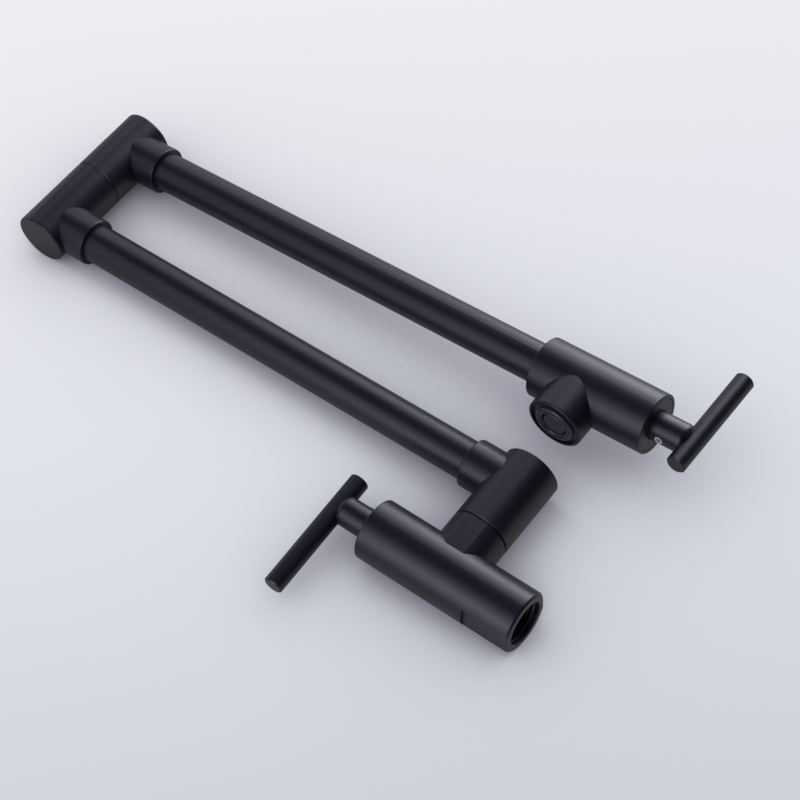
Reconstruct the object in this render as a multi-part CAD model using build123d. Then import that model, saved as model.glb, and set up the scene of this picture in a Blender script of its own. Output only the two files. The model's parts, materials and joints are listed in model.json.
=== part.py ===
from build123d import *
import math
import os

# Wall mounted pot filler: a valve body on the wall, a lower arm that swings on it, an upper arm
# that folds over the lower one at the elbow, and a second valve with the outlet at the far end.
# Millimetres. Z is up. The origin is the centre of the inlet's face, the wall is on the +Y side
# and the arms reach out along -Y. The arms are drawn folded, the handles closed.

# ---------------------------------------------------------------- driving sizes: the arms
tube_diameter = 19.0
tube_wall = 1.0
arm_span = 275.0              # swivel axis to elbow axis, and elbow axis to outlet axis
lower_arm_height = 52.0       # tube axis above the inlet's axis
upper_arm_height = 105.1
lower_arm_swing = -1.4        # degrees off straight out, at rest
upper_arm_swing = -3.0        # degrees off folded flat, at rest
arm_socket_start = 14.5       # from a joint's axis to the floor of the tube's socket
arm_socket_clearance = 0.03
arm_passage_diameter = 15.0
end_socket_depth = 8.1

# the wall valve
wall_body_diameter = 29.0
wall_swivel_offset = 41.5     # inlet face to swivel axis
wall_body_front = 39.0        # swivel axis to the handle end
inlet_thread_diameter = 20.955
inlet_thread_depth = 15.0
inlet_thread_chamfer = 0.4
inlet_flats_across = 25.4
inlet_flats_length = 23.7
inlet_flats_corner = 0.5
inlet_edge_round = 1.5
stub_diameter = 27.5
stub_flats_across = 25.8

# the end valve and its outlet
end_body_diameter = 29.0
end_body_back = 21.9
end_body_front = 38.0
outlet_diameter = 27.4
outlet_drop = 23.9            # arm axis to the outlet's lip
outlet_passage_diameter = 16.0
body_edge_round = 1.0
front_edge_round = 0.6        # on the ends that the handles stand in
small_chamfer = 0.3           # on caps, cover rings, joint seams and the hub's lower end

# the swivel joints
swivel_seat_wall = 24.4       # top of the wall stub
swivel_seat_over_arm = 28.2   # lower arm's axis to the top of the elbow's lower half
swivel_gap = 0.5              # between the two halves of a joint
swivel_land_height = 13.0
swivel_running_clearance = 0.05
post_diameter = 17.0
post_bore_diameter = 11.0
post_thread_diameter = 20.0
post_thread_length = 9.9
post_flange_diameter = 22.4
post_flange_height = 2.0
post_reach = 16.9             # above the seat
post_seal_heights = (4.0, 9.0)
seal_groove_depth = 1.45
seal_groove_width = 2.4
swivel_washer_diameter = 25.6
clip_thickness = 1.0
clip_groove_depth = 0.8
clip_overhang = 1.1
top_washer_thickness = 0.5
top_washer_overhang = 1.25
chamber_clearance = 0.4       # between the clip and the water chamber around it

# the arm housings
knuckle_diameter = 27.6
knuckle_over_arm = 12.0       # lower arm's axis to the top of the housing
knuckle_collar_diameter = 23.4
knuckle_collar_reach = 24.7
elbow_diameter = 26.5
elbow_under_arm = 13.9        # lower arm's axis to the elbow's underside
elbow_over_arm = 14.2         # upper arm's axis to the elbow's top
elbow_branch_diameter = 23.4
elbow_branch_reach = 24.9
elbow_branch_round = 0.6
cap_diameter = 22.4
cap_thickness = 3.8
cap_seal_width = 1.6
cap_seal_depth = 1.1
cap_clearance = 0.05

# the threaded collar on a tube's end that screws it into the elbow
collar_diameter = 21.1
collar_recess = 0.3           # the collar ends this far inside the elbow's mouth
gasket_thickness = 1.7
gasket_bore_diameter = 15.2

# the quarter turn headwork, measured outward from its seat
wall_seat_behind_axis = 10.0
end_seat_behind_axis = 12.0
seat_seal_diameter = 16.2
seat_seal_bore = 10.4
seat_seal_thickness = 2.0
disc_diameter = 16.0
disc_thickness = 3.0
port_inner_radius = 2.2
port_outer_radius = 6.4
port_angle = 80.0
ear_width = 3.0               # the two ears that keep the fixed disc from turning
ear_clearance = 0.1
skirt_diameter = 18.2
skirt_start = 1.0
skirt_length = 21.0
skirt_bore_clearance = 0.15
skirt_floor = 16.0            # the skirt's bore ends here, in front of the neck
window_start = 8.6
window_length = 6.8
window_width = 10.0
stop_width = 2.4              # the two ribs that stop the spindle after a quarter turn
stop_inner_radius = 5.3
headwork_thread_diameter = 20.9
headwork_thread_length = 9.0
hexagon_across = 21.0
hexagon_height = 4.0
headwork_gasket_thickness = 0.8
headwork_gasket_clearance = 0.15
neck_diameter = 13.6
neck_top = 40.0
body_cavity_clearance = 0.5
flange_bore_diameter = 25.0
water_bore_diameter = 14.0

# the spindle
journal_diameter = 9.1
journal_clearance = 0.05
driver_diameter = 14.4
driver_height = 3.0
driver_width = 5.6
lug_width = 2.6
lug_height = 1.2
lug_clearance = 0.1
spindle_seal_height = 27.0
spindle_seal_width = 1.9
spindle_seal_depth = 1.2
spindle_clip_thickness = 0.8
spline_diameter = 8.0
spline_depth = 0.45
spline_teeth = 20
spline_clearance = 0.05
spindle_top = 57.0

# the handle
bonnet_diameter = 25.7
bonnet_thickness = 4.0
bonnet_clearance = 0.05
bonnet_hole_clearance = 0.35
hub_diameter = 14.0
hub_start = 45.6
hub_short_of_bar = 1.5        # the hub ends this far before the bar's axis
hub_end_round = 3.5
bar_axis = 68.6
bar_diameter = 9.3
bar_chamfer = 0.6
wall_bar_short = 15.5
wall_bar_long = 47.0
end_bar_short = 14.1
end_bar_long = 42.0
wall_handle_lean = -3.3       # degrees off upright, closed
end_handle_lean = -2.5
screw_diameter = 4.0
screw_clearance = 0.05
screw_head_diameter = 6.9
screw_head_height = 2.7
bar_screw_web = 3.95          # metal between the screw's head and the bar
bar_screw_socket_across = 3.0
bar_screw_grip = 5.6          # length of the screw inside the bar
grub_from_hub_start = 9.6
grub_socket_across = 2.0
grub_socket_depth = 1.4

# the aerator in the outlet
aerator_diameter = 23.9
aerator_clearance = 0.05
aerator_recess = 1.5          # from the outlet's lip down to the aerator's shoulder
aerator_height = 6.5          # from its shoulder to its back
aerator_bore = 18.0
aerator_shoulder_thickness = 0.6
aerator_seal_thickness = 0.8
nozzle_diameter = 19.8        # the rounded ring that stands out of the shoulder
nozzle_bore = 12.7
nozzle_proud = 0.8            # beyond the outlet's lip
nozzle_round = 1.3
insert_clearance = 0.1
insert_ring_width = 1.6
insert_plate_diameter = 11.4
insert_plate_chamfer = 0.3
insert_rib_width = 1.6
screen_thickness = 1.0
screen_hole_diameter = 1.6
screen_hole_radii = (0.0, 3.0, 6.0)
screen_hole_counts = (1, 6, 12)

# ---------------------------------------------------------------- worked out sizes
tube_radius = tube_diameter / 2
tube_bore_radius = tube_radius - tube_wall
socket_radius = tube_radius + arm_socket_clearance
passage_radius = arm_passage_diameter / 2
post_radius = post_diameter / 2
land_radius = post_radius + swivel_running_clearance
chamber_diameter = post_diameter + 2 * (clip_overhang + chamber_clearance)
swivel_seat_elbow = lower_arm_height + swivel_seat_over_arm
knuckle_top = lower_arm_height + knuckle_over_arm
elbow_bottom = lower_arm_height - elbow_under_arm
elbow_top = upper_arm_height + elbow_over_arm
land_top = swivel_gap + swivel_land_height          # above a joint's seat
clip_bottom = land_top + swivel_running_clearance + top_washer_thickness + swivel_running_clearance
gasket_end = arm_socket_start + gasket_thickness    # where a tube and its collar end in the elbow
collar_end = elbow_branch_reach - collar_recess
disc_bottom = seat_seal_thickness
moving_disc_bottom = disc_bottom + disc_thickness
driver_bottom = moving_disc_bottom + disc_thickness
skirt_end = skirt_start + skirt_length
headwork_thread_end = skirt_end + headwork_thread_length
hexagon_bottom = headwork_thread_end + headwork_gasket_thickness
hexagon_top = hexagon_bottom + hexagon_height
hub_end = bar_axis - hub_short_of_bar
bar_near_side = bar_axis - bar_diameter / 2
screw_head_seat = bar_near_side - bar_screw_web
aerator_shoulder = outlet_drop - aerator_recess
aerator_back = aerator_shoulder - aerator_height
insert_bottom = aerator_back + screen_thickness
insert_top = aerator_shoulder - aerator_shoulder_thickness
outlet_floor = aerator_back - aerator_seal_thickness

# ---------------------------------------------------------------- shared ways of making a piece


def turned(*outline):
    """A solid turned about Z from a closed outline of (radius, height) corners."""
    corners = [(radius, 0, height) for radius, height in outline]
    return revolve(make_face(Polyline(*corners, close=True)), Axis.Z)


def rod(diameter, low, high):
    """A round bar on Z from low to high."""
    return turned((0, low), (diameter / 2, low), (diameter / 2, high), (0, high))


def ring(outer_diameter, inner_diameter, low, high):
    """A flat ring on Z from low to high."""
    outer, inner = outer_diameter / 2, inner_diameter / 2
    return turned((inner, low), (outer, low), (outer, high), (inner, high))


def seal_ring(outer_diameter, inner_diameter, middle, width):
    """A squeezed rubber ring on Z: flat inside and outside, with eased corners."""
    outer, inner = outer_diameter / 2, inner_diameter / 2
    ease = min(width, outer - inner) / 4
    low, high = middle - width / 2, middle + width / 2
    return turned(
        (inner, low + ease), (inner + ease, low), (outer - ease, low), (outer, low + ease),
        (outer, high - ease), (outer - ease, high), (inner + ease, high), (inner, high - ease),
    )


def rim(solid, height, diameter):
    """The circular edges of a turned solid at one height and diameter."""
    return [
        edge
        for edge in solid.edges().filter_by(GeomType.CIRCLE)
        if abs(edge.radius - diameter / 2) < 1e-4 and abs(edge.arc_center.Z - height) < 1e-4
    ]


def along_y(solid, height=0):
    """A solid made on Z, laid along +Y at a height."""
    return Pos(0, 0, height) * Rot(-90, 0, 0) * solid


def hexagon(across, low, high):
    """A hexagonal bar on Z, with its width across the flats."""
    outline = RegularPolygon(across / 2, 6, major_radius=False)
    return extrude(Pos(0, 0, low) * outline, amount=high - low)


def across_x(solid, width, reach):
    """Trim a solid to a width along X, as a milling cutter does for two wrench flats."""
    return solid & Box(width, reach, reach)


# ---------------------------------------------------------------- swivel joint pieces


def swivel_post():
    """The hollow post: threaded foot, flange, shank with two seal grooves and a clip groove."""
    post = turned(
        (post_bore_diameter / 2, -post_flange_height - post_thread_length),
        (post_thread_diameter / 2, -post_flange_height - post_thread_length),
        (post_thread_diameter / 2, -post_flange_height),
        (post_flange_diameter / 2, -post_flange_height),
        (post_flange_diameter / 2, 0),
        (post_radius, 0),
        (post_radius, post_reach - clip_groove_depth),
        (post_radius - clip_groove_depth, post_reach),
        (post_bore_diameter / 2, post_reach),
    )
    for height in post_seal_heights:
        groove = ring(
            post_diameter + 2, post_diameter - 2 * seal_groove_depth,
            height - seal_groove_width / 2, height + seal_groove_width / 2,
        )
        post -= groove
    clip_groove = ring(
        post_diameter + 2, post_diameter - 2 * clip_groove_depth,
        clip_bottom, clip_bottom + clip_thickness,
    )
    return post - clip_groove


def swivel_seals():
    """Two rubber rings in the post's grooves, squeezed to the post's own diameter."""
    inner = post_diameter - 2 * seal_groove_depth
    return Compound([
        seal_ring(post_diameter, inner, height, seal_groove_width) for height in post_seal_heights
    ])


def swivel_washer():
    """The thin washer between the two halves of a joint, seated on the lower one."""
    thickness = swivel_gap - swivel_running_clearance
    bore = post_diameter + 4 * swivel_running_clearance
    return ring(swivel_washer_diameter, bore, 0, thickness)


def swivel_top_washer():
    """The washer on the housing's land, under the clip."""
    low = land_top + swivel_running_clearance
    bore = post_diameter + 4 * swivel_running_clearance
    return ring(post_diameter + 2 * top_washer_overhang, bore, low, low + top_washer_thickness)


def swivel_clip():
    """A spring clip with its gap, snapped into the post's upper groove."""
    clip = ring(
        post_diameter + 2 * clip_overhang, post_diameter - 2 * clip_groove_depth,
        clip_bottom, clip_bottom + clip_thickness,
    )
    gap = Pos(post_radius, 0, clip_bottom) * Box(
        post_diameter, post_radius / 2, 4 * clip_thickness,
    )
    return clip - gap


def post_socket(depth):
    """What is cut from the lower half of a joint to take the post's foot and flange."""
    foot = post_flange_height + post_thread_length
    thread = rod(post_thread_diameter, -foot, -post_flange_height)
    flange = rod(post_flange_diameter + 2 * cap_clearance, -post_flange_height, 1)
    return thread + flange + rod(post_thread_diameter - 3, -foot - depth, -foot)


def housing_bore(seat, top):
    """What is cut from the upper half of a joint: land, water chamber and cap recess."""
    land = rod(2 * land_radius, seat, seat + land_top)
    chamber = rod(chamber_diameter, seat + land_top, top - cap_thickness)
    return land + chamber + rod(cap_diameter + 2 * cap_clearance, top - cap_thickness, top + 1)


def cap(top):
    """The plug that closes a housing, flush with its top, with a groove for its seal."""
    low = top - cap_thickness
    plug = rod(cap_diameter, low, top)
    plug = chamfer(rim(plug, top, cap_diameter), small_chamfer)
    middle = low + cap_thickness / 2
    groove = ring(
        cap_diameter + 2, cap_diameter - 2 * cap_seal_depth,
        middle - cap_seal_width / 2, middle + cap_seal_width / 2,
    )
    return plug - groove


def cap_seal(top):
    """The rubber ring in a cap's groove."""
    middle = top - cap_thickness / 2
    return seal_ring(cap_diameter, cap_diameter - 2 * cap_seal_depth, middle, cap_seal_width)


# ---------------------------------------------------------------- tubes, collars and gaskets


def tube(start, end, height):
    """An arm's tube along +Y, from start to end."""
    return along_y(ring(tube_diameter, 2 * tube_bore_radius, start, end), height)


def tube_collar(height):
    """The threaded collar brazed on a tube's end, which screws it into the elbow's mouth."""
    collar = ring(collar_diameter, 2 * socket_radius, gasket_end, collar_end)
    return along_y(chamfer(rim(collar, collar_end, collar_diameter), small_chamfer), height)


def tube_gasket(height):
    """The flat ring on the floor of the elbow's socket."""
    gasket = ring(collar_diameter, gasket_bore_diameter, arm_socket_start, gasket_end)
    return along_y(gasket, height)


def elbow_branch(height):
    """The elbow's side branch and what is cut from it, both along +Y."""
    branch = rod(elbow_branch_diameter, 0, elbow_branch_reach)
    branch = fillet(rim(branch, elbow_branch_reach, elbow_branch_diameter), elbow_branch_round)
    socket = rod(collar_diameter + 2 * cap_clearance, arm_socket_start, elbow_branch_reach + 1)
    passage = rod(arm_passage_diameter, 0, arm_socket_start)
    return along_y(branch, height), along_y(socket + passage, height)


# ---------------------------------------------------------------- headwork pieces


def port_pair(low, high):
    """Two quadrant ports on the X sides, as cutting tools for the ceramic discs."""
    half = math.radians(port_angle / 2)
    tools = []
    for side in (1, -1):
        inner, outer = side * port_inner_radius, side * port_outer_radius
        first_in = (inner * math.cos(half), -inner * math.sin(half))
        first_out = (outer * math.cos(half), -outer * math.sin(half))
        last_out = (outer * math.cos(half), outer * math.sin(half))
        last_in = (inner * math.cos(half), inner * math.sin(half))
        outline = [
            Line(first_in, first_out),
            ThreePointArc(first_out, (outer, 0), last_out),
            Line(last_out, last_in),
            ThreePointArc(last_in, (inner, 0), first_in),
        ]
        face = Pos(0, 0, low) * make_face(outline)
        tools.append(extrude(face, amount=high - low, dir=(0, 0, 1)))
    return tools[0] + tools[1]


def seat_seal():
    return ring(seat_seal_diameter, seat_seal_bore, 0, seat_seal_thickness)


def fixed_disc():
    """The disc that stays still, keyed to the skirt by two ears."""
    disc = rod(disc_diameter, disc_bottom, moving_disc_bottom)
    ears = rod(skirt_diameter, disc_bottom, moving_disc_bottom)
    disc += ears & Box(ear_width, skirt_diameter, 4 * moving_disc_bottom)
    return disc - port_pair(disc_bottom - 1, moving_disc_bottom + 1)


def driver_lugs(clearance):
    """The two lugs under the spindle's driver that turn the moving disc."""
    middle = (port_inner_radius + driver_diameter / 2) / 2
    length = driver_diameter / 2 - port_inner_radius - lug_height
    lug = Box(length + 2 * clearance, lug_width + 2 * clearance, 2 * (lug_height + clearance))
    level = driver_bottom
    return Pos(middle, 0, level) * lug + Pos(-middle, 0, level) * lug


def moving_disc():
    """The disc that turns: its ports lie across the fixed disc's while the valve is closed."""
    disc = rod(disc_diameter, moving_disc_bottom, driver_bottom)
    disc -= Rot(0, 0, 90) * port_pair(moving_disc_bottom - 1, driver_bottom + 1)
    return disc - driver_lugs(lug_clearance)


def headwork_body():
    """The brass bush: skirt with side windows, thread, hexagon and neck."""
    skirt_bore = disc_diameter / 2 + skirt_bore_clearance
    body = turned(
        (skirt_bore, skirt_start),
        (skirt_diameter / 2, skirt_start),
        (skirt_diameter / 2, skirt_end),
        (headwork_thread_diameter / 2, skirt_end),
        (headwork_thread_diameter / 2, hexagon_bottom),
        (neck_diameter / 2, hexagon_bottom),
        (neck_diameter / 2, neck_top),
        (journal_diameter / 2 + journal_clearance, neck_top),
        (journal_diameter / 2 + journal_clearance, skirt_floor),
        (skirt_bore, skirt_floor),
    )
    wrench_hexagon = hexagon(hexagon_across, hexagon_bottom, hexagon_top)
    body += wrench_hexagon - rod(neck_diameter, hexagon_bottom - 1, hexagon_top + 1)
    window = Box(2 * skirt_diameter, window_width, window_length)
    body -= Pos(0, 0, window_start + window_length / 2) * window
    notch = Box(ear_width + 2 * ear_clearance, skirt_diameter, moving_disc_bottom)
    body -= Pos(0, 0, ear_clearance + moving_disc_bottom / 2) * notch
    return body + stop_ribs(skirt_bore)


def stop_ribs(skirt_bore):
    """Two ribs inside the skirt, half way between the driver's closed and open places."""
    low = driver_bottom + lug_clearance
    outer = skirt_bore + body_cavity_clearance
    rib = Pos((stop_inner_radius + outer) / 2, 0, (low + skirt_floor) / 2) * Box(
        outer - stop_inner_radius, stop_width, skirt_floor - low
    )
    return Rot(0, 0, -45) * rib + Rot(0, 0, 135) * rib


def headwork_gasket():
    inner = headwork_thread_diameter + 2 * headwork_gasket_clearance
    outer = flange_bore_diameter - 2 * headwork_gasket_clearance
    return ring(outer, inner, headwork_thread_end, hexagon_bottom)


def spline(clearance, low, high):
    """The toothed end of the spindle, or with a clearance the hub's toothed bore."""
    tip = spline_diameter / 2 + clearance
    root = tip - spline_depth
    corners = []
    for tooth in range(spline_teeth):
        start = 360 * tooth / spline_teeth
        for share, radius in ((0.0, root), (0.3, root), (0.5, tip), (0.8, tip)):
            angle = math.radians(start + share * 360 / spline_teeth)
            corners.append((radius * math.cos(angle), radius * math.sin(angle), low))
    return extrude(make_face(Polyline(*corners, close=True)), amount=high - low, dir=(0, 0, 1))


def spindle():
    """Driver, lugs, journal with its seal groove, clip groove and toothed end."""
    clip_low = neck_top + journal_clearance
    clip_high = clip_low + spindle_clip_thickness
    body = rod(journal_diameter, driver_bottom, clip_high + spindle_clip_thickness)
    driver = rod(driver_diameter, driver_bottom, driver_bottom + driver_height)
    body += driver & Box(driver_diameter, driver_width, 4 * driver_bottom)
    body += driver_lugs(0)
    body += spline(0, clip_high, spindle_top)
    body -= ring(
        journal_diameter + 2, journal_diameter - 2 * spindle_seal_depth,
        spindle_seal_height - spindle_seal_width / 2, spindle_seal_height + spindle_seal_width / 2,
    )
    groove = ring(journal_diameter + 2, spline_diameter - 2 * spline_depth, clip_low, clip_high)
    return body - groove


def spindle_seal():
    inner = journal_diameter - 2 * spindle_seal_depth
    return seal_ring(journal_diameter, inner, spindle_seal_height, spindle_seal_width)


def spindle_clip():
    """The clip on top of the neck that keeps the spindle in."""
    low = neck_top + journal_clearance
    outer = journal_diameter + 2 * clip_overhang
    clip = ring(outer, spline_diameter - 2 * spline_depth, low, low + spindle_clip_thickness)
    gap = Pos(outer / 2, 0, low) * Box(outer, journal_diameter / 3, 4 * spindle_clip_thickness)
    return clip - gap


# ---------------------------------------------------------------- handle pieces


def handle_hub():
    """The hub: toothed bore, screw bore, saddle for the bar and the grub screw's hole."""
    hub = rod(hub_diameter, hub_start, hub_end)
    hub = fillet(rim(hub, hub_end, hub_diameter), hub_end_round)
    hub = chamfer(rim(hub, hub_start, hub_diameter), small_chamfer)
    hub -= spline(spline_clearance, hub_start - 1, spindle_top)
    hub -= rod(screw_head_diameter + 4 * screw_clearance, hub_start, screw_head_seat)
    hub -= rod(screw_diameter + 2 * screw_clearance, screw_head_seat - 1, bar_axis)
    hub -= Pos(0, 0, bar_axis) * Rot(-90, 0, 0) * rod(bar_diameter, -hub_diameter, hub_diameter)
    grub_hole = rod(screw_diameter, 0, hub_diameter)
    return hub - Pos(0, 0, hub_start + grub_from_hub_start) * Rot(-90, 0, 0) * grub_hole


def handle_bar(short_side, long_side):
    """The cross bar, with a tapped hole on the hub's side."""
    bar = rod(bar_diameter, -long_side, short_side)
    bar = chamfer(rim(bar, -long_side, bar_diameter) + rim(bar, short_side, bar_diameter), bar_chamfer)
    bar = Pos(0, 0, bar_axis) * Rot(-90, 0, 0) * bar
    grip_end = bar_near_side + bar_screw_grip + screw_clearance
    return bar - rod(screw_diameter, screw_head_seat, grip_end)


def bar_screw():
    """The socket head screw that holds the bar in the hub's saddle."""
    head_low = screw_head_seat - screw_head_height
    screw = rod(screw_head_diameter, head_low, screw_head_seat)
    screw += rod(screw_diameter, screw_head_seat, bar_near_side + bar_screw_grip)
    return screw - hexagon(bar_screw_socket_across, head_low - 1, head_low + screw_head_height / 2)


def grub_screw():
    """The small set screw in the hub's side that grips the spindle."""
    inner = spline_diameter / 2 + screw_clearance
    outer = hub_diameter / 2 - screw_clearance
    screw = rod(screw_diameter, inner, outer)
    screw -= hexagon(grub_socket_across, outer - grub_socket_depth, outer + 1)
    return Pos(0, 0, hub_start + grub_from_hub_start) * Rot(-90, 0, 0) * screw


# ---------------------------------------------------------------- valve bodies


def headwork_cavity(seat, front):
    """What is cut from a valve body for its headwork and bonnet ring, from the seat outward."""
    skirt_bore = skirt_diameter + 2 * body_cavity_clearance
    cavity = rod(skirt_bore, seat, seat + skirt_end)
    cavity += rod(headwork_thread_diameter, seat + skirt_end, seat + headwork_thread_end)
    cavity += rod(flange_bore_diameter, seat + headwork_thread_end, front - bonnet_thickness)
    bonnet_bore = bonnet_diameter + 2 * bonnet_clearance
    return cavity + rod(bonnet_bore, front - bonnet_thickness, front + 1)


def bonnet_ring(seat, front):
    """The cover ring, flush with the body's end, in the headwork's own measure."""
    top = front - seat
    hole = hub_diameter + 2 * bonnet_hole_clearance
    cover = ring(bonnet_diameter, hole, top - bonnet_thickness, top)
    return chamfer(rim(cover, top, bonnet_diameter), small_chamfer)


def inlet_bore():
    """What is cut from the wall valve body for the pipe's thread, with a small lead-in."""
    radius = inlet_thread_diameter / 2
    face = -wall_swivel_offset
    return turned(
        (0, face),
        (radius + inlet_thread_chamfer, face),
        (radius, face + inlet_thread_chamfer),
        (radius, face + inlet_thread_depth),
        (0, face + inlet_thread_depth),
    )


def wall_valve_body():
    """Body with the inlet on the -Z end, the stub on +Y and the headwork from the +Z end."""
    seat = -wall_seat_behind_axis
    body = rod(wall_body_diameter, -wall_swivel_offset, wall_body_front)
    body = fillet(rim(body, wall_body_front, wall_body_diameter), front_edge_round)
    body = fillet(rim(body, -wall_swivel_offset, wall_body_diameter), inlet_edge_round)
    flat_width = math.sqrt(wall_body_diameter**2 - inlet_flats_across**2)
    cutter = Pos(0, 0, -wall_swivel_offset) * Box(
        flat_width, wall_body_diameter, 2 * inlet_flats_length
    )
    cutter = fillet(cutter.edges().filter_by(Axis.Y), inlet_flats_corner)
    for side in (1, -1):
        body -= Pos(0, side * (inlet_flats_across + wall_body_diameter) / 2, 0) * cutter
    stub = rod(stub_diameter, 0, swivel_seat_wall)
    stub = chamfer(rim(stub, swivel_seat_wall, stub_diameter), small_chamfer)
    body += along_y(across_x(stub, stub_flats_across, 4 * wall_body_diameter))
    body -= headwork_cavity(seat, wall_body_front)
    body -= inlet_bore()
    body -= rod(water_bore_diameter, -wall_swivel_offset, seat)
    foot_depth = swivel_seat_wall - post_flange_height - post_thread_length
    return body - along_y(Pos(0, 0, swivel_seat_wall) * post_socket(foot_depth))


def end_valve_body():
    """Body with the tube's socket on the -Z end, the outlet on +Y and the headwork from +Z."""
    seat = -end_seat_behind_axis
    body = rod(end_body_diameter, -end_body_back, end_body_front)
    body = fillet(rim(body, end_body_front, end_body_diameter), front_edge_round)
    body = fillet(rim(body, -end_body_back, end_body_diameter), body_edge_round / 2)
    spout = rod(outlet_diameter, 0, outlet_drop)
    body += along_y(fillet(rim(spout, outlet_drop, outlet_diameter), body_edge_round))
    body -= headwork_cavity(seat, end_body_front)
    body -= rod(2 * socket_radius, -end_body_back - 1, -end_body_back + end_socket_depth)
    body -= rod(water_bore_diameter, -end_body_back, seat)
    passage = rod(outlet_passage_diameter, 0, outlet_floor)
    recess = rod(aerator_diameter + 2 * aerator_clearance, outlet_floor, outlet_drop + 1)
    return body - along_y(passage + recess)


# ---------------------------------------------------------------- arm housings


def lower_knuckle():
    """The lower arm's housing on the wall post, with the collar that takes the tube."""
    bottom = swivel_seat_wall + swivel_gap
    body = rod(knuckle_diameter, bottom, knuckle_top)
    body = fillet(rim(body, knuckle_top, knuckle_diameter), body_edge_round)
    body = chamfer(rim(body, bottom, knuckle_diameter), small_chamfer)
    branch = rod(knuckle_collar_diameter, 0, knuckle_collar_reach)
    branch = fillet(rim(branch, knuckle_collar_reach, knuckle_collar_diameter), body_edge_round)
    body += along_y(branch, lower_arm_height)
    body -= housing_bore(swivel_seat_wall, knuckle_top)
    socket = rod(2 * socket_radius, arm_socket_start, knuckle_collar_reach + 1)
    return body - along_y(socket + rod(arm_passage_diameter, 0, arm_socket_start), lower_arm_height)


def elbow_lower_body():
    """The elbow's lower half: closed bottom, side branch and the post's socket on top."""
    body = rod(elbow_diameter, elbow_bottom, swivel_seat_elbow)
    body = fillet(rim(body, elbow_bottom, elbow_diameter), body_edge_round)
    body = chamfer(rim(body, swivel_seat_elbow, elbow_diameter), small_chamfer)
    branch, cut = elbow_branch(lower_arm_height)
    foot = swivel_seat_elbow - post_flange_height - post_thread_length
    well = foot - lower_arm_height + passage_radius
    return body + branch - cut - Pos(0, 0, swivel_seat_elbow) * post_socket(well)


def elbow_upper_body():
    """The elbow's upper half: housing on the elbow post, with a side branch."""
    bottom = swivel_seat_elbow + swivel_gap
    body = rod(elbow_diameter, bottom, elbow_top)
    body = fillet(rim(body, elbow_top, elbow_diameter), body_edge_round)
    body = chamfer(rim(body, bottom, elbow_diameter), small_chamfer)
    branch, cut = elbow_branch(upper_arm_height)
    return body + branch - housing_bore(swivel_seat_elbow, elbow_top) - cut


# ---------------------------------------------------------------- aerator, on +Z outward


def aerator_housing():
    """The threaded shell, with a shoulder and the rounded nozzle ring standing out of it."""
    nozzle_top = outlet_drop + nozzle_proud
    shell = turned(
        (aerator_bore / 2, aerator_back),
        (aerator_diameter / 2, aerator_back),
        (aerator_diameter / 2, aerator_shoulder),
        (nozzle_diameter / 2, aerator_shoulder),
        (nozzle_diameter / 2, nozzle_top),
        (nozzle_bore / 2, nozzle_top),
        (nozzle_bore / 2, insert_top),
        (aerator_bore / 2, insert_top),
    )
    rounded = rim(shell, nozzle_top, nozzle_diameter) + rim(shell, nozzle_top, nozzle_bore)
    return fillet(rounded, nozzle_round)


def aerator_insert():
    """The plastic insert: ring, ribs and the round plate that the water leaves around."""
    outer = aerator_bore - 2 * insert_clearance
    inner = outer - 2 * insert_ring_width
    middle = (insert_bottom + insert_top) / 2
    plate = rod(insert_plate_diameter, middle, outlet_drop)
    plate = chamfer(rim(plate, outlet_drop, insert_plate_diameter), insert_plate_chamfer)
    insert = ring(outer, inner, insert_bottom, insert_top) + plate
    level = (insert_bottom + middle) / 2
    rib = Pos(0, 0, level) * Box(inner + insert_ring_width, insert_rib_width, middle - insert_bottom)
    return insert + rib + Rot(0, 0, 90) * rib


def aerator_screen():
    """The perforated plate behind the insert that breaks up the flow."""
    screen = rod(aerator_bore - 2 * insert_clearance, aerator_back, insert_bottom)
    for radius, count in zip(screen_hole_radii, screen_hole_counts):
        for number in range(count):
            place = Rot(0, 0, 360 * number / count) * Pos(radius, 0, 0)
            screen -= place * rod(screen_hole_diameter, aerator_back - 1, insert_bottom + 1)
    return screen


def aerator_seal():
    return ring(aerator_diameter, outlet_passage_diameter, outlet_floor, aerator_back)


# ---------------------------------------------------------------- where each group stands

wall_valve_place = Pos(0, -wall_swivel_offset, 0) * Rot(90, 0, 0)
lower_arm_place = Pos(0, -wall_swivel_offset, 0) * Rot(0, 0, lower_arm_swing)
elbow_place = lower_arm_place * Pos(0, -arm_span, 0)
upper_arm_place = elbow_place * Rot(0, 0, upper_arm_swing)
end_valve_place = upper_arm_place * Pos(0, arm_span, upper_arm_height) * Rot(-90, 0, 0)
knuckle_place = lower_arm_place * Rot(0, 0, 180)   # its collar is made on +Y and faces -Y
outlet_place = end_valve_place * Rot(-90, 0, 0)

# the headwork screws in until it is tight, a few degrees off, so its handle leans a little
wall_seat_place = wall_valve_place * Pos(0, 0, -wall_seat_behind_axis)
end_seat_place = end_valve_place * Pos(0, 0, -end_seat_behind_axis)
wall_headwork_place = wall_seat_place * Rot(0, 0, wall_handle_lean)
end_headwork_place = end_seat_place * Rot(0, 0, end_handle_lean)
wall_joint_place = Pos(0, -wall_swivel_offset, swivel_seat_wall)
elbow_joint_place = elbow_place * Pos(0, 0, swivel_seat_elbow)

lower_tube_start = arm_span - gasket_end
upper_tube_end = arm_span - end_body_back + end_socket_depth

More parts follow.
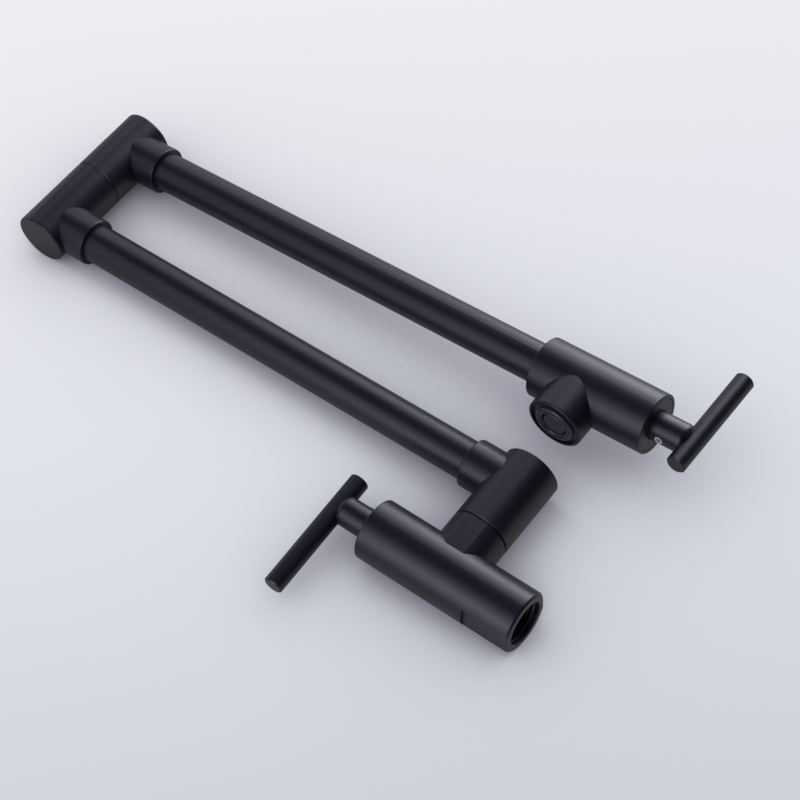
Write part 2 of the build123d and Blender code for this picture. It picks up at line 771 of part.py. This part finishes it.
pieces = {
    "wall_valve_body": wall_valve_place * wall_valve_body(),
    "wall_seat_seal": wall_headwork_place * seat_seal(),
    "wall_fixed_disc": wall_headwork_place * fixed_disc(),
    "wall_headwork_body": wall_headwork_place * headwork_body(),
    "wall_headwork_gasket": wall_headwork_place * headwork_gasket(),
    "wall_bonnet_ring": wall_headwork_place * bonnet_ring(-wall_seat_behind_axis, wall_body_front),
    "wall_swivel_post": wall_joint_place * swivel_post(),
    "wall_swivel_seals": wall_joint_place * swivel_seals(),
    "wall_swivel_washer": wall_joint_place * swivel_washer(),
    "wall_swivel_top_washer": wall_joint_place * swivel_top_washer(),
    "wall_swivel_clip": wall_joint_place * swivel_clip(),
    "wall_spindle": wall_headwork_place * spindle(),
    "wall_spindle_seal": wall_headwork_place * spindle_seal(),
    "wall_spindle_clip": wall_headwork_place * spindle_clip(),
    "wall_moving_disc": wall_headwork_place * moving_disc(),
    "wall_handle_hub": wall_headwork_place * handle_hub(),
    "wall_handle_bar": wall_headwork_place * handle_bar(wall_bar_short, wall_bar_long),
    "wall_bar_screw": wall_headwork_place * bar_screw(),
    "wall_grub_screw": wall_headwork_place * grub_screw(),
    "lower_knuckle": knuckle_place * lower_knuckle(),
    "lower_knuckle_cap": lower_arm_place * cap(knuckle_top),
    "lower_knuckle_cap_seal": lower_arm_place * cap_seal(knuckle_top),
    "lower_tube": knuckle_place * tube(arm_socket_start, lower_tube_start, lower_arm_height),
    "lower_tube_collar": elbow_place * tube_collar(lower_arm_height),
    "lower_tube_gasket": elbow_place * tube_gasket(lower_arm_height),
    "elbow_lower_body": elbow_place * elbow_lower_body(),
    "elbow_swivel_post": elbow_joint_place * swivel_post(),
    "elbow_swivel_seals": elbow_joint_place * swivel_seals(),
    "elbow_swivel_washer": elbow_joint_place * swivel_washer(),
    "elbow_swivel_top_washer": elbow_joint_place * swivel_top_washer(),
    "elbow_swivel_clip": elbow_joint_place * swivel_clip(),
    "elbow_upper_body": upper_arm_place * elbow_upper_body(),
    "elbow_cap": upper_arm_place * cap(elbow_top),
    "elbow_cap_seal": upper_arm_place * cap_seal(elbow_top),
    "upper_tube_gasket": upper_arm_place * tube_gasket(upper_arm_height),
    "upper_tube_collar": upper_arm_place * tube_collar(upper_arm_height),
    "upper_tube": upper_arm_place * tube(gasket_end, upper_tube_end, upper_arm_height),
    "end_valve_body": end_valve_place * end_valve_body(),
    "end_seat_seal": end_headwork_place * seat_seal(),
    "end_fixed_disc": end_headwork_place * fixed_disc(),
    "end_headwork_body": end_headwork_place * headwork_body(),
    "end_headwork_gasket": end_headwork_place * headwork_gasket(),
    "end_bonnet_ring": end_headwork_place * bonnet_ring(-end_seat_behind_axis, end_body_front),
    "aerator_housing": outlet_place * aerator_housing(),
    "aerator_insert": outlet_place * aerator_insert(),
    "aerator_screen": outlet_place * aerator_screen(),
    "aerator_seal": outlet_place * aerator_seal(),
    "end_spindle": end_headwork_place * spindle(),
    "end_spindle_seal": end_headwork_place * spindle_seal(),
    "end_spindle_clip": end_headwork_place * spindle_clip(),
    "end_moving_disc": end_headwork_place * moving_disc(),
    "end_handle_hub": end_headwork_place * handle_hub(),
    "end_handle_bar": end_headwork_place * handle_bar(end_bar_short, end_bar_long),
    "end_bar_screw": end_headwork_place * bar_screw(),
    "end_grub_screw": end_headwork_place * grub_screw(),
}

os.makedirs("parts", exist_ok=True)
for name, piece in pieces.items():
    export_step(piece, f"parts/{name}.step")

print("pieces:", len(pieces))
print("elbow axis at rest:", elbow_place.position)
print("end valve spindle direction:", Plane(end_valve_place).z_dir)
print("end valve axis point:", end_valve_place.position)
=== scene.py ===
# %% [markdown]
# # A matte black pot filler, lit and finished in Blender
#
# The pot filler is a tap for the wall above a cooker: a valve at the wall, two arms of round tube
# that fold on swivel joints, and a second valve at the outlet. Its solids come packed from the CAD
# program, in metres, with the inlet's face at the origin and +Z up as it hangs. This script gives
# the solids their finishes, cuts the one small form that only the eye needs, and lays the folded
# tap on a pale table, as in the photograph.

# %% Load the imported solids
import json
import math

import bmesh
import bpy
from mathutils import Matrix, Vector


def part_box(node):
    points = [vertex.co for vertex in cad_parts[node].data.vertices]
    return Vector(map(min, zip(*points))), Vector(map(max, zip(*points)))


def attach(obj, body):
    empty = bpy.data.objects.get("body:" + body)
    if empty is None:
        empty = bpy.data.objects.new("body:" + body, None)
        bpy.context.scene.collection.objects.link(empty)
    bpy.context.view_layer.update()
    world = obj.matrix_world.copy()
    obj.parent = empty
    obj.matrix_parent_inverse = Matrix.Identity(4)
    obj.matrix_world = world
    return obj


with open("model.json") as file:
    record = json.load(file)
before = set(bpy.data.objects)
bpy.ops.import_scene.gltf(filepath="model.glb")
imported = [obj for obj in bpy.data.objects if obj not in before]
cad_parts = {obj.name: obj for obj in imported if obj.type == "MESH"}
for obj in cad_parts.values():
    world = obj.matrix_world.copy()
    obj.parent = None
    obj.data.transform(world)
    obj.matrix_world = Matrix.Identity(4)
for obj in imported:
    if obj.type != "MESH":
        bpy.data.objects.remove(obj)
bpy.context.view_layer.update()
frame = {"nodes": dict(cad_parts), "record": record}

# %% [markdown]
# ## The camera
#
# The tap was seen from a little under a metre away through a long lens, so the arms hardly taper.
# The camera is set by a matrix with three columns for its right, up and back directions and one for
# its place. Aiming it with a constraint would also work, but a fixed matrix holds the slight roll
# as well.

# %% Place the camera
camera_place = Vector((0.7924205, 0.2503933, -0.3360321))
camera_right = Vector((-0.0618138, 0.7948369, 0.6036666))
camera_up = Vector((0.5575217, -0.4741699, 0.6814195))
camera_back = camera_right.cross(camera_up)
sensor_width = 36  # millimetres, like the lens
lens_length = 95.2788

camera_data = bpy.data.cameras.new("long_lens")
camera_data.sensor_width = sensor_width
camera_data.lens = lens_length
camera_data.clip_start = 0.01
camera = bpy.data.objects.new("camera", camera_data)
turn = Matrix((camera_right, camera_up, camera_back)).transposed().to_4x4()
camera.matrix_world = Matrix.Translation(camera_place) @ turn
bpy.context.collection.objects.link(camera)
bpy.context.scene.camera = camera
print("camera", round(camera_place.length, 3), "m from the inlet, lens", lens_length, "mm")

# %% [markdown]
# ## Three nodes that come back
#
# Shader nodes are wired one by one, and three of them return in every finish: a noise, a colour
# ramp and a change of range. Each gets a helper here, which makes the node, wires what goes in and
# hands back what comes out. Copying the same ten lines would work too, but a recipe is easier to
# read when its steps have names.

# %% Helpers for a noise, a ramp and a range
def noise_of(tree, vector, size, detail):
    """A noise whose patches are about that size, in metres."""
    noise = tree.nodes.new("ShaderNodeTexNoise")
    noise.inputs["Scale"].default_value = 1 / size
    noise.inputs["Detail"].default_value = detail
    tree.links.new(vector, noise.inputs["Vector"])
    return noise.outputs["Fac"]


def ramp_of(tree, share, stops):
    """A colour that follows share through stops, each a position and a colour."""
    ramp = tree.nodes.new("ShaderNodeValToRGB")
    marks = ramp.color_ramp.elements
    for mark, (position, colour) in zip((marks[0], marks[1]), (stops[0], stops[-1])):
        mark.position = position
        mark.color = (*colour, 1)
    for position, colour in stops[1:-1]:
        marks.new(position).color = (*colour, 1)
    tree.links.new(share, ramp.inputs["Fac"])
    return ramp.outputs["Color"]


def range_of(tree, number, given, wanted=(0, 1)):
    """The number, moved from the range given to the range wanted."""
    spread = tree.nodes.new("ShaderNodeMapRange")
    for socket, value in zip(("From Min", "From Max", "To Min", "To Max"), (*given, *wanted)):
        spread.inputs[socket].default_value = value
    tree.links.new(number, spread.inputs["Value"])
    return spread.outputs["Result"]


print("helpers:", noise_of.__name__, ramp_of.__name__, range_of.__name__)

# %% [markdown]
# ## A finish as a small recipe
#
# A real finish is never one flat colour. Paint has a faint orange peel, brass shows the marks of
# the lathe, rubber is dusty. The recipe mixes two noises in the object's own space, so they stay on
# the piece when an arm swings. The fine one is the grain, and it lifts the surface. The broad one
# is the drift of a spray gun or a polishing wheel over a few centimetres. Together they shift the
# colour a little and make the gloss uneven. Image textures would need unwrapped meshes, and noise
# doesn't.

# %% A recipe for any finish
noise_range = (0.3, 0.7)  # nearly all of a noise lies between these
grain_detail = 3
drift_size = 0.03
drift_detail = 2
drift_share = 0.4


def finish(name, dark, light, gloss, grain, lift, metallic=0.0):
    """Colour from dark to light, roughness within gloss, grain in metres, lift in metres."""
    material = bpy.data.materials.new(name)
    material.use_nodes = True
    tree = material.node_tree
    shader = tree.nodes["Principled BSDF"]
    shader.inputs["Metallic"].default_value = metallic

    on_piece = tree.nodes.new("ShaderNodeTexCoord").outputs["Object"]
    fine = noise_of(tree, on_piece, grain, grain_detail)
    broad = noise_of(tree, on_piece, drift_size, drift_detail)
    both = tree.nodes.new("ShaderNodeMix")
    both.inputs["Factor"].default_value = drift_share
    tree.links.new(fine, both.inputs["A"])
    tree.links.new(broad, both.inputs["B"])
    noise = both.outputs["Result"]

    colour = ramp_of(tree, noise, ((noise_range[0], dark), (noise_range[1], light)))
    tree.links.new(colour, shader.inputs["Base Color"])
    rough = range_of(tree, noise, noise_range, gloss)
    tree.links.new(rough, shader.inputs["Roughness"])

    bump = tree.nodes.new("ShaderNodeBump")
    bump.inputs["Distance"].default_value = lift
    bump.inputs["Strength"].default_value = 1
    tree.links.new(fine, bump.inputs["Height"])
    tree.links.new(bump.outputs["Normal"], shader.inputs["Normal"])
    return material


print("a finish drifts over", round(drift_size * 1000), "mm")

# %% [markdown]
# ## Black paint
#
# The tap is powder coated in satin black and baked. The coat is nearly black with a breath of blue,
# so what the eye sees is gloss: long soft highlights that the fine orange peel breaks up a little.
# A paler colour with less gloss would fill the dark bands between the highlights, and those bands
# are what makes it look black.

# %% Black paint
black_paint = finish("black_paint", (0.0045, 0.0048, 0.0105), (0.0066, 0.007, 0.0135),
                     gloss=(0.35, 0.41), grain=0.0011, lift=0.000012)
print(black_paint.name, "with", len(black_paint.node_tree.nodes), "nodes")

# %% [markdown]
# ## Metals, seals and plastics of the inside
#
# Most of these pieces are closed in, but they show when the tap is taken apart. Brass is turned, so
# it has a fine grain and an uneven gloss. The ceramic discs are lapped smooth, for water mustn't
# pass between them. Rubber and fibre are dull. One recipe makes them all, with other numbers.

# %% The other finishes
finishes = {
    "black_paint": black_paint,
    "bare_brass": finish("bare_brass", (0.62, 0.42, 0.17), (0.76, 0.56, 0.28),
                         gloss=(0.22, 0.38), grain=0.0008, lift=0.000008, metallic=1.0),
    "ceramic": finish("ceramic", (0.80, 0.79, 0.76), (0.88, 0.87, 0.85),
                      gloss=(0.12, 0.2), grain=0.0006, lift=0.000002),
    "seal_rubber": finish("seal_rubber", (0.018, 0.018, 0.019), (0.035, 0.035, 0.036),
                          gloss=(0.6, 0.8), grain=0.0007, lift=0.00002),
    "gasket_fibre": finish("gasket_fibre", (0.22, 0.04, 0.03), (0.38, 0.09, 0.06),
                           gloss=(0.75, 0.95), grain=0.0005, lift=0.00004),
    "white_plastic": finish("white_plastic", (0.80, 0.80, 0.78), (0.87, 0.87, 0.86),
                            gloss=(0.4, 0.55), grain=0.0009, lift=0.00001),
    "black_plastic": finish("black_plastic", (0.026, 0.026, 0.031), (0.036, 0.036, 0.042),
                            gloss=(0.24, 0.32), grain=0.0009, lift=0.00001),
    "spring_steel": finish("spring_steel", (0.42, 0.42, 0.43), (0.58, 0.58, 0.6),
                           gloss=(0.28, 0.4), grain=0.0006, lift=0.000006, metallic=1.0),
    "screw_steel": finish("screw_steel", (0.72, 0.72, 0.73), (0.88, 0.88, 0.9),
                          gloss=(0.14, 0.22), grain=0.0006, lift=0.000004, metallic=1.0),
}
print(len(finishes), "finishes:", ", ".join(finishes))

# %% [markdown]
# ## Dress the solids
#
# In the works each piece is painted or polished by itself, before the tap is put together. The
# part's record says which finish every piece has, so a loop can do the same. Choosing the finish by
# a piece's name would also work, until someone renames a piece.

# %% Dress each solid in its finish
for part in frame["record"]["subparts"]:
    solid = frame["nodes"][part["node"]]
    solid.data.materials.clear()
    solid.data.materials.append(finishes[part["material_slot"]])

# %% [markdown]
# ## The pipe thread
#
# The inlet is tapped with a half inch pipe thread, fourteen turns to the inch. The solids leave
# threads as plain bores, so the eye's thread is made here: one small ridge swept round and inward
# in a screw, its back a hair inside the bore's wall, fading out at both ends. Rings would be
# simpler, but a screw's slope and its run out at the mouth are easy to see in an open end.

# %% The thread's sizes
thread_pitch = 0.0254 / 14
thread_bore = 0.020955 / 2
thread_depth = 0.0006
thread_back = 0.00008
thread_mouth = 0.0006
thread_turns = 7.5
half_root = 0.48 * thread_pitch
half_crest = 0.07 * thread_pitch
steps_per_turn = 40
fade_steps = 10
print("a pitch is", round(thread_pitch * 1000, 3), "mm")


# %% Cut the inlet's thread
def screw_thread(name):
    """A ridge that climbs a bore on the Y axis, from its mouth inward."""
    shape = bmesh.new()
    steps = int(thread_turns * steps_per_turn)
    sections = []
    for step in range(steps + 1):
        angle = 2 * math.pi * step / steps_per_turn
        middle_y = -thread_mouth - thread_pitch * (0.5 + step / steps_per_turn)
        fade = min(1, step / fade_steps, (steps - step) / fade_steps)
        root = thread_bore + thread_back
        crest = thread_bore - thread_depth * fade
        section = []
        for radius, shift in ((root, half_root), (crest, half_crest),
                              (crest, -half_crest), (root, -half_root)):
            place = (radius * math.sin(angle), middle_y + shift, radius * math.cos(angle))
            section.append(shape.verts.new(place))
        sections.append(section)
    for first, second in zip(sections, sections[1:]):
        for corner in range(4):
            after = (corner + 1) % 4
            shape.faces.new((first[corner], first[after], second[after], second[corner]))
    shape.faces.new(reversed(sections[0]))
    shape.faces.new(sections[-1])
    bmesh.ops.recalc_face_normals(shape, faces=shape.faces)
    mesh = bpy.data.meshes.new(name)
    shape.to_mesh(mesh)
    shape.free()
    ridge = bpy.data.objects.new(name, mesh)
    bpy.context.collection.objects.link(ridge)
    return ridge


inlet_thread = screw_thread("inlet_thread")
print("thread of", thread_turns, "turns,", len(inlet_thread.data.polygons), "faces")

# %% [markdown]
# ## Painted light in the thread
#
# The thread is a paler, duller grey than the outside. The paler grey is painted light: it stands in
# for the light that reaches into the open bore. A mask painted on one finish could do this too, but
# a finish of its own is simpler for a piece of its own. The thread stays on the wall end, whatever
# the arms do.

# %% Painted light in the thread
# painted light: a paler grey than the black paint, standing in for light in the bore
painted_bore_light = finish("painted_bore_light", (0.020, 0.021, 0.034), (0.032, 0.033, 0.048),
                    gloss=(0.42, 0.55), grain=0.0006, lift=0.00001)
inlet_thread.data.materials.append(painted_bore_light)
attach(inlet_thread, "wall_base")
print(inlet_thread.name, "wears", painted_bore_light.name)

# %% [markdown]
# ## The table
#
# The folded tap lies on its side on a pale table, so the table stands upright here, on the tap's -X
# side. It touches the wall end and the elbow, which are the two lowest places of a tap that lies
# down, and the solids' own boxes say how low each of them reaches.

# %% Where the table stands
upward = Vector((0, 0, 1))
table_half = 2.5
wall_end_y = -0.041
elbow_y = -0.3164
lowest_side = min(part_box("wall_valve_body")[0][0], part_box("lower_knuckle")[0][0])
lowest_elbow = min(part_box("elbow_lower_body")[0][0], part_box("elbow_upper_body")[0][0])
wall_touch = Vector((lowest_side, wall_end_y, 0))
elbow_touch = Vector((lowest_elbow, elbow_y, 0))
table_side = (wall_touch - elbow_touch).normalized()
table_normal = table_side.cross(upward)
print("the tap lies on x =", round(lowest_side, 4), "and", round(lowest_elbow, 4))

table_mesh = bpy.data.meshes.new("table")
corners = [wall_touch + table_side * along * table_half + upward * rise * table_half
           for along, rise in ((-1, -1), (1, -1), (1, 1), (-1, 1))]
table_mesh.from_pydata([tuple(corner) for corner in corners], [], [(0, 1, 2, 3)])
table = bpy.data.objects.new("table", table_mesh)
bpy.context.collection.objects.link(table)

# %% [markdown]
# ## The table's shade
#
# A solid table would hide the tap from behind, and an arm that swings through it. So this one is a
# sheet that can be seen through, and only its shadow shows, as a painted shadow. An ambient
# occlusion node asks each point of the sheet how much of the sky the tap leaves open, and a ramp
# turns that into a tint: white in the open, and darker and a touch bluer close to the tap. The tint
# is painted shade on the sheet, not a shadow cast by the lamps.

# %% The sheet's shade
shadow_reach = 0.3
shadow_samples = 32
# painted shadow: these tints darken the sheet where the tap closes off the sky
painted_shadow_tints = ((0, (0, 0, 0)), (0.5, (0.40, 0.40, 0.435)), (0.75, (0.76, 0.76, 0.78)), (1, (1, 1, 1)))

table_sheet = bpy.data.materials.new("table_sheet")
table_sheet.use_nodes = True
table_mesh.materials.append(table_sheet)
sheet = table_sheet.node_tree
sheet.nodes.clear()

open_sky = sheet.nodes.new("ShaderNodeAmbientOcclusion")
open_sky.samples = shadow_samples
open_sky.inputs["Distance"].default_value = shadow_reach
shade = ramp_of(sheet, open_sky.outputs["AO"], painted_shadow_tints)
print("the shadow has", len(painted_shadow_tints), "tints and reaches", shadow_reach, "m")

# %% [markdown]
# ## The table's glow
#
# What the sheet is depends on who asks. The camera looks through the tint, which is the painted
# shadow. A ray on its way to a lamp passes as if there were no sheet. Any other ray comes from the
# tap, to find what it mirrors and what lights it, and meets a pale glow, darker in the shadow, so
# the undersides show a table as real ones do. The glow is painted light: the panels don't light the
# sheet, it shines by itself as a lit table would, and the painted shadow darkens it. The glow isn't
# sampled as a lamp, because a lamp this wide would only add grain.

# %% What each ray meets at the table
glow_level = 0.42
table_sheet.cycles.emission_sampling = "NONE"

tinted = sheet.nodes.new("ShaderNodeBsdfTransparent")
sheet.links.new(shade, tinted.inputs["Color"])
clear = sheet.nodes.new("ShaderNodeBsdfTransparent")
# painted light: the sheet glows as a lit table would, darkened by the painted shadow
glow = sheet.nodes.new("ShaderNodeEmission")
glow.inputs["Strength"].default_value = glow_level
sheet.links.new(shade, glow.inputs["Color"])
ray = sheet.nodes.new("ShaderNodeLightPath")


def chosen_by(question, if_not, if_so):
    """One shader for the rays that answer yes to the question, and another for the rest."""
    choice = sheet.nodes.new("ShaderNodeMixShader")
    sheet.links.new(ray.outputs[question], choice.inputs[0])
    sheet.links.new(if_not, choice.inputs[1])
    sheet.links.new(if_so, choice.inputs[2])
    return choice.outputs["Shader"]


for_the_lamps = chosen_by("Is Shadow Ray", glow.outputs["Emission"], clear.outputs["BSDF"])
for_the_camera = chosen_by("Is Camera Ray", for_the_lamps, tinted.outputs["BSDF"])
result = sheet.nodes.new("ShaderNodeOutputMaterial")
sheet.links.new(for_the_camera, result.inputs["Surface"])
print("the table's sheet has", len(sheet.nodes), "nodes")

# %% [markdown]
# ## The light
#
# Soft boxes, one above the other, stand on the table's left and right and draw a bright line along
# each tube. Dimmer ones close the far side, and the near side and the ceiling stay dark, which is
# what gives black paint its shape. Each panel is set by its direction, in degrees round the table
# and above it, and by how bright its cloth is, and its power follows from that and its size. Two
# more shine from behind the table, through the sheet, so the tap's back isn't lost in the dark.

# %% A soft box
middle = Vector((0, -0.17, 0.07))
panel_away = 1.1
panel_size = (0.75, 0.42)


def soft_box(name, around, above, level, colour):
    """A panel of that brightness; around 0 is the tap's +Z side and 90 its far side, -Y."""
    around, above = math.radians(around), math.radians(above)
    flat = upward * math.cos(around) - table_side * math.sin(around)
    way = flat * math.cos(above) + table_normal * math.sin(above)
    across = table_normal.cross(way).normalized()
    lamp = bpy.data.lights.new(name, "AREA")
    lamp.shape = "RECTANGLE"
    lamp.size, lamp.size_y = panel_size
    lamp.color = colour
    lamp.energy = level * math.pi * panel_size[0] * panel_size[1]
    holder = bpy.data.objects.new(name, lamp)
    turned = Matrix((across, way.cross(across), way)).transposed().to_4x4()
    holder.matrix_world = Matrix.Translation(middle + way * panel_away) @ turned
    holder.visible_camera = False
    bpy.context.collection.objects.link(holder)
    print(name, "power", round(lamp.energy, 2), "W")


print("panels of", panel_size, "m stand", panel_away, "m away")

# %% [markdown]
# ## The panels round the table
#
# The right side is the brightest and a little warmer, and the left fills in with a cooler white. In
# a studio each of these would be a cloth frame on a stand. Here a row of numbers is a panel: its
# name, its degrees round the table and above it, its level and its colour.

# %% Set up the panels
day_white = (0.87, 0.88, 1.0)
cool_white = (0.815, 0.82, 1.0)

panels = (
    ("right_low", 0, 10, 5.0, day_white),
    ("right_middle", 0, 28, 5.9, day_white),
    ("right_high", 0, 50, 2.4, day_white),
    ("left_low", 180, 10, 2.25, cool_white),
    ("left_middle", 180, 28, 3.3, cool_white),
    ("left_high", 180, 50, 1.0, cool_white),
    ("far_right_low", 45, 12, 1.0, day_white),
    ("far_right_high", 45, 38, 1.2, day_white),
    ("far_low", 90, 10, 0.98, day_white),
    ("far_left_low", 135, 15, 0.62, cool_white),
    ("far_left_high", 135, 40, 0.75, cool_white),
    ("back_left", 215, -40, 2.5, cool_white),
    ("back_right", 325, -40, 2.5, day_white),
)
for panel in panels:
    soft_box(*panel)

# %% [markdown]
# ## The room
#
# Behind the tap is a pale backdrop that is lighter at the top. The change from top to bottom is
# painted light: it stands in for the table being lit more at the top, so the backdrop isn't evenly
# bright. It is the world's colour rather than a wall of its own, so it fills the picture from every
# side. The world is asked by direction: a dot product says how far a direction points along a
# chosen one, and a ramp turns that into a colour.

# %% The pale backdrop
world = bpy.data.worlds.new("room")
world.use_nodes = True
bpy.context.scene.world = world
room = world.node_tree
sky = room.nodes.new("ShaderNodeTexCoord").outputs["Generated"]


def share_along(direction, low, high):
    """0 where the sky's direction is low along a vector, 1 where it is high."""
    along = room.nodes.new("ShaderNodeVectorMath")
    along.operation = "DOT_PRODUCT"
    along.inputs[1].default_value = direction
    room.links.new(sky, along.inputs[0])
    return range_of(room, along.outputs["Value"], (low, high))


backdrop_reach = 0.19
backdrop_lean = 0.12
# painted light: the backdrop grows darker towards the bottom, as the table's light falls off
painted_falloff_pales = ((0, (0.64, 0.65, 0.70)), (0.5, (0.765, 0.775, 0.835)), (1, (0.84, 0.845, 0.885)))
backdrop_way = camera_up - backdrop_lean * camera_right
backdrop = ramp_of(room, share_along(backdrop_way, -backdrop_reach, backdrop_reach), painted_falloff_pales)
print("backdrop from", painted_falloff_pales[0][1], "to", painted_falloff_pales[-1][1])

# %% [markdown]
# ## Who sees the backdrop
#
# The backdrop must not light the tap, or the black would turn grey. So only the camera sees it, and
# bright metal mirrors it below the table's plane, where a swung arm may hang. For all else the room
# is dark, with just enough light for a black thing's shadow side.

# %% Join the backdrop and the dark room
dark_room = (0.036, 0.042, 0.05, 1)
plane_blur = 0.05


def combined(operation, first, second):
    """A Math node on two sockets."""
    node = room.nodes.new("ShaderNodeMath")
    node.operation = operation
    room.links.new(first, node.inputs[0])
    room.links.new(second, node.inputs[1])
    return node.outputs["Value"]


path = room.nodes.new("ShaderNodeLightPath")
mirrored = combined("MAXIMUM", path.outputs["Is Glossy Ray"], path.outputs["Is Transmission Ray"])
below_table = share_along(table_normal, 0, -plane_blur)
seen = combined("MAXIMUM", path.outputs["Is Camera Ray"],
                combined("MULTIPLY", mirrored, below_table))
mix = room.nodes.new("ShaderNodeMix")
mix.data_type = "RGBA"
room.links.new(seen, mix.inputs["Factor"])
mix.inputs["A"].default_value = dark_room
room.links.new(backdrop, mix.inputs["B"])
background = room.nodes["Background"]
background.inputs["Strength"].default_value = 1
room.links.new(mix.outputs["Result"], background.inputs["Color"])

bpy.context.scene.view_settings.view_transform = "Standard"
print("world mixes a pale backdrop with a dark room")
